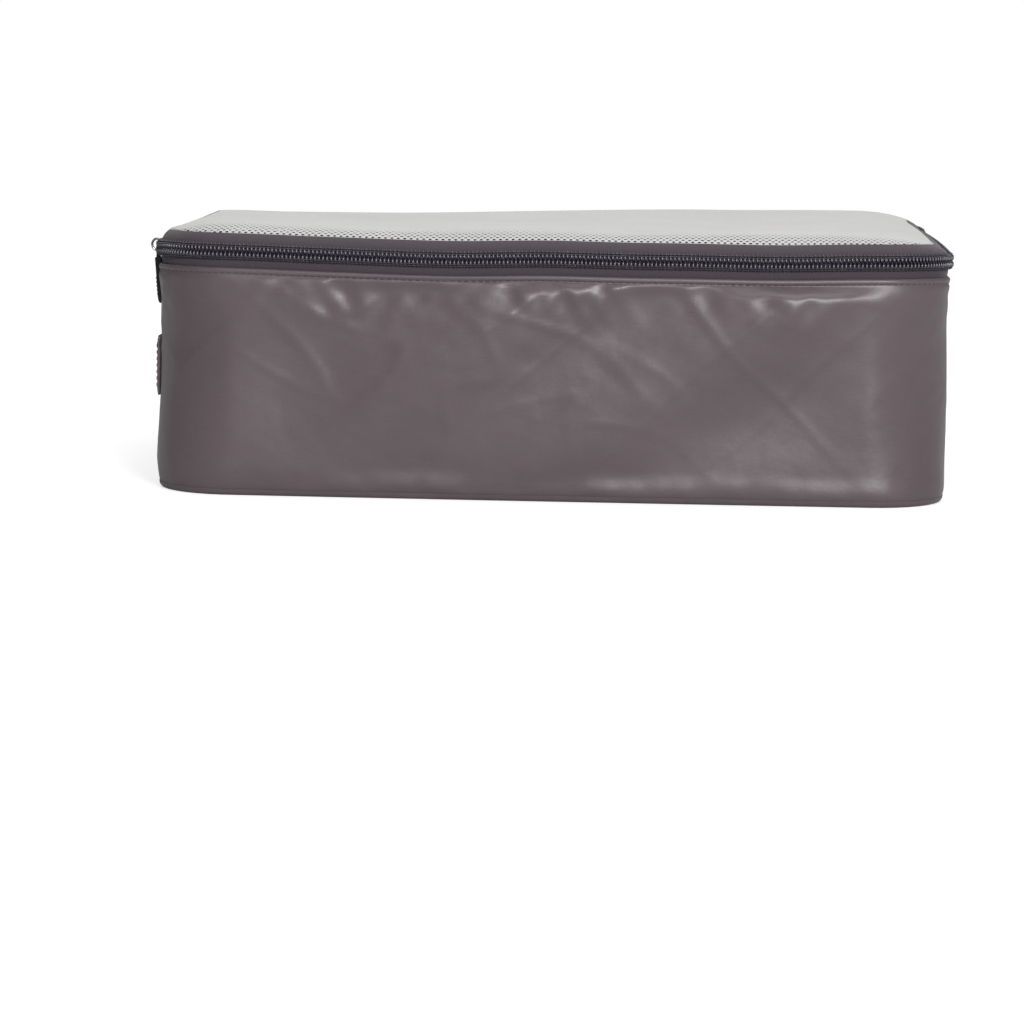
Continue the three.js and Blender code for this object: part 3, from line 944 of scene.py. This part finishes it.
netValues = {
    "pitch": 2.62 * mm, "rowPitch": 2.18 * mm, "yarn": 0.5, "yarnHeight": 0.3 * mm, "skirt": 2.6 * mm,
    "run": 20 * mm, "rise": 3.2 * mm, "inset": 4.6 * mm, "ripple": 0.45 * mm, "sag": 1.4 * mm,
}


def crownProfile(depthIn):
    # distance along the cloth in from its edge, to the distance in plan and the height
    v = netValues
    share = np.linspace(0, 1, 60)
    plan = v["run"] * share
    tall = v["rise"] * (1 - (1 - share) ** 2)
    length = np.concatenate([[0], np.cumsum(np.hypot(np.diff(plan), np.diff(tall)))])
    total = v["skirt"] + length[-1]
    past = depthIn - v["skirt"]
    inPlan = np.where(past < 0, 0, np.interp(past, length, plan))
    inPlan = np.where(depthIn > total, v["run"] + depthIn - total, inPlan)
    height = np.where(past < 0, depthIn, v["skirt"] + np.interp(past, length, tall))
    return inPlan, height, total


def drapeLid(flat):
    # points of the flat net laid over the crowned lid, and how far in from its edge each lies
    v = netValues
    extra = crownProfile(np.zeros(1))[2] - v["run"]
    half = np.array([halfWidth - v["inset"] + extra, halfDepth - v["inset"] + extra])
    radius = cornerRadius - v["inset"] + extra
    side = np.where(flat < 0, -1.0, 1.0)
    beyond = np.abs(flat) - (half - radius)
    corner = np.maximum(beyond, 0)
    reach = np.linalg.norm(corner, axis=1)
    depthIn = radius - reach - np.minimum(np.max(beyond, axis=1), 0)
    inward = np.zeros_like(flat)
    turning = reach > 1e-9
    inward[turning] = -corner[turning] / reach[turning][:, None] * side[turning]
    wide = ~turning & (beyond[:, 0] > beyond[:, 1])
    inward[wide, 0] = -side[wide, 0]
    deep = ~turning & ~wide
    inward[deep, 1] = -side[deep, 1]
    inPlan, height = crownProfile(depthIn)[:2]
    plan = flat + inward * (inPlan - depthIn + extra)[:, None]
    x, y = plan[:, 0], plan[:, 1]
    loose = smooth(depthIn / (30 * mm))
    ripple = (np.sin(x / (19 * mm) + 2.2 * np.sin(y / (34 * mm))) * np.sin(y / (41 * mm) + 0.8)
              + 0.6 * np.sin((x + 0.6 * y) / (31 * mm) + 1.1))
    # the crown is lower at the back left, and the middle sags a little
    slack = smooth((y + 70 * mm) / (130 * mm)) * smooth((60 * mm - x) / (150 * mm))
    crown = np.clip(height - v["skirt"], 0, None) * (1 - 0.9 * slack)
    middle = smooth((depthIn - 8 * mm) / (80 * mm))
    tall = meshEdge + (0.9 - 0.4 * slack) * mm + np.minimum(height - v["skirt"], 0) + crown
    tall += v["ripple"] * loose * ripple - v["sag"] * middle
    right = smooth((x - 100 * mm) / (58 * mm))
    plan[:, 0] -= settleValues["sideInset"] * right
    tall -= settleValues["sideDip"] * right
    return settle(np.column_stack([plan, tall])), depthIn


def makeNet():
    # a warp-knitted net: six-sided holes in staggered rows, each yarn a raised ridge
    v = netValues
    extra = crownProfile(np.zeros(1))[2] - v["run"]
    columns = int((halfWidth + extra) / v["pitch"]) + 2
    rows = int((halfDepth + extra) / v["rowPitch"]) + 2
    grid = np.meshgrid(np.arange(-columns, columns + 1), np.arange(-rows, rows + 1))
    column, row = [part.ravel() for part in grid]
    centres = np.stack([(column + 0.5 * (row % 2)) * v["pitch"], row * v["rowPitch"]], axis=1)
    wide = v["pitch"] / 2
    tall = v["rowPitch"] * 2 / 3
    hexagon = np.array([(wide, tall / 2), (0, tall), (-wide, tall / 2), (-wide, -tall / 2), (0, -tall),
                        (wide, -tall / 2)])
    knots = (centres[:, None, :] + hexagon).reshape(-1, 2)
    holes = (centres[:, None, :] + hexagon * (1 - v["yarn"])).reshape(-1, 2)
    # neighbouring holes share their knots
    keys = np.rint(knots / (0.05 * mm)).astype(int)
    first, shared = np.unique(keys, axis=0, return_index=True, return_inverse=True)[1:]
    shared = shared.ravel()
    flat = np.concatenate([knots[first], holes])
    draped, depthIn = drapeLid(flat)
    step = 0.3 * mm
    alongX = drapeLid(flat + np.array([step, 0]))[0] - draped
    alongY = drapeLid(flat + np.array([0, step]))[0] - draped
    normal = np.cross(alongX, alongY)
    normal /= np.linalg.norm(normal, axis=1, keepdims=True)
    draped[:len(first)] += normal[:len(first)] * v["yarnHeight"]
    cell = np.arange(len(centres)) * 6
    quads = []
    for k in range(6):
        here, after = cell + k, cell + (k + 1) % 6
        quads.append(np.stack([len(first) + here, shared[here], shared[after], len(first) + after], axis=1))
    faces = np.concatenate(quads)
    faces = faces[(depthIn[faces] > 0).all(axis=1)]
    used, faces = np.unique(faces, return_inverse=True)
    faces = faces.reshape(-1, 4)
    mesh = bpy.data.meshes.new("meshNet")
    mesh.from_pydata(draped[used].tolist(), [], faces.tolist())
    net = addObject("meshNet", mesh)
    if np.mean([face.normal.z for face in mesh.polygons[:2000]]) < 0:
        mesh.flip_normals()
    finishPiece(net, "lid", "mesh_net", netLook, "mesh_panel", angle=80)
    print("net", 2 * len(faces), "triangles")


makeNet()


# Handle

handleValues = {
    "length": 176 * mm, "sewn": 25 * mm, "width": 25 * mm, "thickness": 1.2 * mm, "bow": 2.4 * mm,
    "edgeStitch": 2.2 * mm, "pitch": 2.7 * mm, "free": 22 * mm, "boxSize": 19 * mm, "stitch": 1.9 * mm,
    "thread": 0.19 * mm, "boxStitch": 2.1 * mm, "boxThread": 0.21 * mm,
}
strapLow, strapHigh = [Vector(corner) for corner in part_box("handle_strap")]
strapMiddle = (strapLow.z + strapHigh.z) / 2


def wallFace(along, height):
    # the outside of the left wall at places along its length
    distance = quarter + straightY - np.asarray(along, float)
    return onWall(distance, np.zeros(len(np.atleast_1d(along))), height)


def strapFace(along, height, lift):
    # points over the wall, on the strap: sewn flat at the ends, bowed out between
    v = handleValues
    inner = v["length"] / 2 - v["sewn"]
    bow = v["bow"] * np.clip(1 - (np.abs(along) / inner) ** 2, 0, 1) ** 0.8
    points = wallFace(along, height)
    points[:, 0] -= 0.35 * mm + bow + lift
    return points


def makeHandleHalf(side, name, nodes):
    v = handleValues
    end = v["length"] / 2
    clearSelection()
    bpy.ops.mesh.primitive_grid_add(x_subdivisions=44, y_subdivisions=18, size=1)
    strap = bpy.context.object
    strap.name = name
    grid = readPoints(strap)
    along = side * (grid[:, 0] + 0.5) * end
    offset = grid[:, 1] * v["width"]
    # the folded end and the two folded edges are rounded over
    fromEdge = np.minimum(v["width"] / 2 - np.abs(offset), end - np.abs(along))
    lift = v["thickness"] - 0.7 * mm * (1 - smooth(fromEdge / (0.9 * mm)))
    stitched = np.abs(np.abs(offset) - v["width"] / 2 + v["edgeStitch"])
    lift -= 0.16 * mm * np.exp(-(stitched / (0.6 * mm)) ** 2)
    lift += 0.12 * mm * crumple(along, offset, 13 * mm, 23)
    writePoints(strap, strapFace(along, strapMiddle + offset, lift))
    mapCloth(strap, strap.data.uv_layers[0], np.column_stack([along, offset]))
    if np.mean([face.normal.x for face in strap.data.polygons]) > 0:
        strap.data.flip_normals()
    subdivide(strap)
    thicken(strap, v["thickness"])
    applyAll(strap)
    finishPiece(strap, None, "shell_fabric", nylon, *nodes, angle=60)
    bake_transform(strap)

    # a row of stitches along each edge
    count = int((end - 3 * mm) / v["pitch"])
    middle = side * (np.arange(count) + 0.5) * v["pitch"]
    level = v["thickness"] - 0.02 * mm
    places, ahead = [], []
    for edge in (-1, 1):
        height = np.full(count, strapMiddle + edge * (v["width"] / 2 - v["edgeStitch"]))
        places.append(strapFace(middle, height, level))
        ahead.append(strapFace(middle + 0.5 * mm, height, level))
    places, ahead = np.concatenate(places), np.concatenate(ahead)
    outward = np.tile([-1.0, 0, 0], (len(places), 1))
    stitches = sewAlong(name + "Stitches", places, ahead - places, outward, v["stitch"], v["thread"])
    finishPiece(stitches, None, "thread", threadLook, angle=60)
    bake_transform(stitches)


def makeBoxStitch(side, name, node):
    # a square of stitches with a cross in it
    v = handleValues
    middle = side * (v["length"] / 2 - v["sewn"] / 2)
    half = v["boxSize"] / 2
    corners = [(-half, -half), (half, -half), (half, half), (-half, half), (-half, -half), (half, half)]
    runs = list(zip(corners, corners[1:])) + [((-half, half), (half, -half))]
    level = v["thickness"] + 0.06 * mm
    places, ahead = [], []
    for begin, finish in runs:
        begin, finish = np.array(begin), np.array(finish)
        length = np.linalg.norm(finish - begin)
        count = round(length / v["pitch"])
        share = (np.arange(count) + 0.5) / count
        spots = begin + share[:, None] * (finish - begin)
        after = spots + (finish - begin) / length * 0.5 * mm
        for store, where in ((places, spots), (ahead, after)):
            store.append(strapFace(middle + where[:, 0], strapMiddle + where[:, 1], level))
    places, ahead = np.concatenate(places), np.concatenate(ahead)
    outward = np.tile([-1.0, 0, 0], (len(places), 1))
    stitches = sewAlong(name, places, ahead - places, outward, v["boxStitch"], v["boxThread"])
    finishPiece(stitches, "tray", "thread", threadLook, node, angle=60)


makeHandleHalf(-1, "handleFrontHalf", ("handle_strap", "handle_front_end"))
makeHandleHalf(1, "handleBackHalf", ("handle_strap", "handle_back_end"))
makeBoxStitch(-1, "frontBoxStitch", "handle_front_stitch")
makeBoxStitch(1, "backBoxStitch", "handle_back_stitch")
print("handle made")


# Slider

sliderValues = {
    "plate": 1.0 * mm, "soft": 0.32 * mm, "noseShare": 0.79, "post": 4 * mm, "flange": 1.05 * mm,
    "crownFoot": 1.4 * mm, "crownBar": 1.0 * mm,
}
sliderLow, sliderHigh = [Vector(corner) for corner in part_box("slider_body")]
crownLow, crownHigh = [Vector(corner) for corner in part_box("slider_crown")]
ringLow, ringHigh = [Vector(corner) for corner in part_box("pull_ring")]
sliderMiddle = (sliderLow + sliderHigh) / 2


def curveThrough(start, *pieces, steps=7):
    # an outline of straight lines and bezier curves
    points = [np.array(start, float)]
    for piece in pieces:
        knots = [points[-1]] + [np.array(knot, float) for knot in piece]
        order = len(knots) - 1
        for t in np.linspace(0, 1, steps if order > 1 else 2)[1:]:
            weights = [math.comb(order, k) * t ** k * (1 - t) ** (order - k) for k in range(order + 1)]
            points.append(sum(w * knot for w, knot in zip(weights, knots)))
    return np.array(points[:-1] if np.allclose(points[0], points[-1]) else points)


def plateFrom(name, outlinePoints, low, high, soft, segments=3):
    # a plate with the outline in Y and Z, from x low to x high, its edges rounded
    clearSelection()
    bpy.ops.mesh.primitive_circle_add(vertices=len(outlinePoints), radius=1, fill_type="NGON")
    plate = bpy.context.object
    plate.name = name
    writePoints(plate, np.column_stack([np.full(len(outlinePoints), low), outlinePoints]))
    bpy.ops.object.mode_set(mode="EDIT")
    bpy.ops.mesh.select_all(action="SELECT")
    bpy.ops.mesh.extrude_region_move(TRANSFORM_OT_translate={"value": (high - low, 0, 0)})
    bpy.ops.object.mode_set(mode="OBJECT")
    pointOutwards(plate)
    bevel = softenEdges(plate, soft, segments)
    bevel.limit_method = "ANGLE"
    bevel.angle_limit = math.radians(50)
    applyAll(plate)
    return plate


def softBlock(name, low, high, soft):
    # a block between two corners, its edges rounded
    clearSelection()
    bpy.ops.mesh.primitive_cube_add(size=1, location=(Vector(low) + Vector(high)) / 2)
    block = bpy.context.object
    block.name = name
    block.scale = Vector(high) - Vector(low)
    applyPlace()
    softenEdges(block, soft)
    applyAll(block)
    return block


def makeSlider():
    v = sliderValues
    half = (sliderHigh.y - sliderLow.y) / 2
    mouth = (sliderHigh.z - sliderLow.z) / 2
    nose = mouth * v["noseShare"]
    tip, waist, wide, rim = -half + 1.5 * mm, -1 * mm, 2 * mm, half - 1 * mm
    face = curveThrough(
        (tip, -nose), [(waist, -nose), (waist, -mouth), (wide, -mouth)], [(rim, -mouth)],
        [(half, -mouth), (half, -mouth + 1 * mm)], [(half, mouth - 1 * mm)], [(half, mouth), (rim, mouth)],
        [(wide, mouth)], [(waist, mouth), (waist, nose), (tip, nose)], [(-half, nose), (-half, 0)],
        [(-half, -nose), (tip, -nose)])
    face = face + np.array([sliderMiddle.y, sliderMiddle.z])
    outer = plateFrom("sliderBody", face, sliderLow.x, sliderLow.x + v["plate"], v["soft"])
    inner = plateFrom("sliderInner", face, sliderHigh.x - v["plate"], sliderHigh.x, v["soft"])
    backEnd = sliderHigh.y - 1 * mm
    post = softBlock("sliderPost", (sliderLow.x + 0.4 * mm, backEnd - v["post"], chainMiddle - 0.5 * mm),
                     (sliderHigh.x - 0.4 * mm, backEnd, chainMiddle + 0.5 * mm), 0.2 * mm)
    flange = softBlock("sliderFlange", (sliderLow.x + 0.4 * mm, sliderMiddle.y + 2 * mm, sliderLow.z),
                       (-halfWidth + 0.9 * mm, backEnd, sliderLow.z + v["flange"]), 0.2 * mm)
    body = joinPieces("sliderBody", [outer, inner, post, flange])
    finishPiece(body, "slider", "slider_metal", enamelLook, "slider_body", angle=50)

    # the crown is an arch that stands on the outer plate along the chain
    reach = (crownHigh.y - crownLow.y) / 2
    height = (crownHigh.z - crownLow.z) / 2
    base = sliderLow.x + 0.05 * mm
    rise = base - crownLow.x
    inner, under = reach - v["crownFoot"], rise - v["crownBar"]
    turn = 0.6 * mm
    arch = curveThrough(
        (-reach, 0), [(-reach, rise), (-reach, rise), (-reach + 2 * mm, rise)], [(reach - 2 * mm, rise)],
        [(reach, rise), (reach, rise), (reach, 0)], [(inner, 0)], [(inner, under - turn)],
        [(inner, under), (inner - turn, under)], [(-inner + turn, under)],
        [(-inner, under), (-inner, under - turn)], [(-inner, 0)], [(-reach, 0)])
    crown = plateFrom("sliderCrown", arch, -height, height, 0.3 * mm)
    points = readPoints(crown)
    middle = (crownLow + crownHigh) / 2
    # the arch was drawn with its rise along Z and its width along X
    writePoints(crown, np.column_stack([base - points[:, 2], middle.y + points[:, 1],
                                        middle.z + points[:, 0]]))
    finishPiece(crown, "slider", "bright_metal", nickelLook, "slider_crown", angle=50)


def makeRing():
    middle = (ringLow + ringHigh) / 2
    wire = (ringHigh.y - ringLow.y) / 2
    clearSelection()
    bpy.ops.mesh.primitive_torus_add(
        major_radius=(ringHigh.z - ringLow.z) / 2 - wire, minor_radius=wire, major_segments=48,
        minor_segments=14, location=middle, rotation=(math.pi / 2, 0, 0))
    ring = bpy.context.object
    ring.name = "pullRing"
    applyPlace()
    finishPiece(ring, "ring", "bright_metal", nickelLook, "pull_ring", angle=60)


pullValues = {
    "length": 25 * mm, "neck": 2.3 * mm, "tip": 3.7 * mm, "eye": 2.4 * mm, "half": 1.5 * mm,
    "wire": 0.72 * mm, "grips": 5, "firstGrip": 4.2, "gripStep": 1.7, "lean": -5,
}


def makePull():
    # a moulded tab: a thin eye on the ring, a neck, and a thicker grip with ribs
    v = pullValues
    length, neck, tip, eyeOut, half, wire = [
        v[key] for key in ("length", "neck", "tip", "eye", "half", "wire")]
    bottom = eyeOut - length
    tab = curveThrough(
        (-neck, -eyeOut - 0.2 * mm), [(-neck, bottom / 2), (-tip, bottom / 2), (-tip, bottom + tip)],
        [(-tip, bottom + 0.45 * tip), (-0.55 * tip, bottom), (0, bottom)],
        [(0.55 * tip, bottom), (tip, bottom + 0.45 * tip), (tip, bottom + tip)],
        [(tip, bottom / 2), (neck, bottom / 2), (neck, -eyeOut - 0.2 * mm)],
        [(-neck, -eyeOut - 0.2 * mm)], steps=9)
    grip = plateFrom("pullGrip", tab, -half, half, half / 2, segments=4)
    clearSelection()
    bpy.ops.mesh.primitive_torus_add(major_radius=1.65 * mm, minor_radius=wire, major_segments=32,
                                     minor_segments=12, rotation=(0, math.pi / 2, 0))
    loop = bpy.context.object
    applyPlace()
    neckBlock = softBlock("pullNeck", (-wire, -neck, -eyeOut - 1.6 * mm), (wire, neck, -half), 0.4 * mm)
    parts = [grip, loop, neckBlock]
    for number in range(v["grips"]):
        height = bottom + (v["firstGrip"] + v["gripStep"] * number) * mm
        for face in (-half, half):
            parts.append(softBlock("pullRib", (face - 0.28 * mm, -tip * 0.68, height - 0.32 * mm),
                                   (face + 0.28 * mm, tip * 0.68, height + 0.32 * mm), 0.2 * mm))
    pull = joinPieces("rubberPull", parts)
    # it hangs from the ring, its foot a little out from the wall
    eye = joints["pull_swing"]["pos_m"]
    pull.data.transform(Matrix.Translation(eye) @ Matrix.Rotation(math.radians(v["lean"]), 4, "Y"))
    finishPiece(pull, "pull", "pull_rubber", rubberLook, "rubber_pull", angle=50)


makeSlider()
makeRing()
makePull()
print("slider made")


# Hinge

hingeValues = {
    "thickness": 0.4 * mm, "past": 6 * mm, "columnStep": 3 * mm,
    # each row's height above the net's edge and its inset, in mm, from below the joint to the net
    "rise": (-2.2, -1.6, -0.9, -0.3, 0.1, 0.4, 0.7, 0.9, 1.0, 1.05, 1.05, 0.9),
    "insets": (-0.25, -0.35, -0.35, -0.3, -0.15, 0.2, 0.9, 2.0, 3.4, 4.5, 5.3, 5.5),
}


def makeHingeStrip():
    # the nylon edge that joins the back wall to the lid; on the real cube it folds as the lid opens, here it
    # is built in the closed shape and does not fold
    v = hingeValues
    start, end = zipLength - v["past"], perimeter + v["past"]
    strip = rolledGrid("hingeStrip", start, end, round((end - start) / v["columnStep"]),
                       meshEdge + np.array(v["rise"]) * mm, np.array(v["insets"]) * mm)
    thicken(strip, v["thickness"])
    applyAll(strip)
    finishPiece(strip, None, "shell_fabric", nylon, angle=60)
    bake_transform(strip)


makeHingeStrip()


# Stage, light and camera

# Each lamp has its place, what it points at, its size and its power. The camera's angles are in degrees.
viewValues = {
    "place": (45.4 * mm, -1651.4 * mm, 194.8 * mm), "azimuth": 2.24, "pitch": -7.42, "roll": 0.89,
    "lens": 131.66015625, "sky": 0.12, "floor": 2.6, "floorGlow": 0.66,
    "lamps": [
        ("overhead", (0.1, 0.3, 2.4), (0, 0, 0), 3.0, 62.0),
        ("front", (0.85, -2.6, 0.95), (0, 0, 0.06), 0.6, 63.0),
        ("sparkle", (-0.3, -2.2, 1.5), (0, 0, 0.1), 0.2, 4.0),
    ],
}


def makeStage():
    v = viewValues
    clearSelection()
    bpy.ops.mesh.primitive_plane_add(size=v["floor"], location=(0, 0, -0.05 * mm))
    floor = bpy.context.object
    floor.name = "floor"
    s = Shader("paleFloor")
    grain = s.noise(s.place(), 12.0, 2.0)
    # like the backdrop, it lights the cube less than it shows
    shown = s.node("ShaderNodeLightPath", {}, {}, "Is Camera Ray")
    floor.data.materials.append(s.finish(
        Base_Color=s.mix(grain, (0.46, 0.46, 0.46, 1), (0.5, 0.5, 0.5, 1)), Roughness=0.9,
        Emission_Color=s.mix(shown, (0, 0, 0, 1), (1, 1, 1, 1)), Emission_Strength=v["floorGlow"]))

    world = bpy.data.worlds.new("studio")
    bpy.context.scene.world = world
    world.use_nodes = True
    # the backdrop is white to look at, and lights the cube less than it shows
    tree = world.node_tree
    background = tree.nodes["Background"]
    background.inputs[0].default_value = (1, 1, 1, 1)
    seen = tree.nodes.new("ShaderNodeMapRange")
    seen.inputs["To Min"].default_value = v["sky"]
    tree.links.new(tree.nodes.new("ShaderNodeLightPath").outputs["Is Camera Ray"], seen.inputs["Value"])
    tree.links.new(seen.outputs[0], background.inputs[1])

    for name, place, target, size, power in v["lamps"]:
        light = bpy.data.lights.new(name, "AREA")
        light.energy = power
        light.size = size
        lamp = addObject(name, light)
        lamp.location = place
        lamp.rotation_euler = (Vector(target) - Vector(place)).to_track_quat("-Z", "Y").to_euler()

    camera = addObject("camera", bpy.data.cameras.new("camera"))
    camera.data.lens = v["lens"]
    camera.data.sensor_width = 36
    camera.location = v["place"]
    turn = (Matrix.Rotation(math.radians(v["azimuth"]), 4, "Z")
            @ Matrix.Rotation(math.radians(90 + v["pitch"]), 4, "X")
            @ Matrix.Rotation(math.radians(v["roll"]), 4, "Z"))
    camera.rotation_euler = turn.to_euler()
    camera.data.clip_end = 60
    bpy.context.scene.camera = camera
    bpy.context.scene.view_settings.view_transform = "Standard"


makeStage()
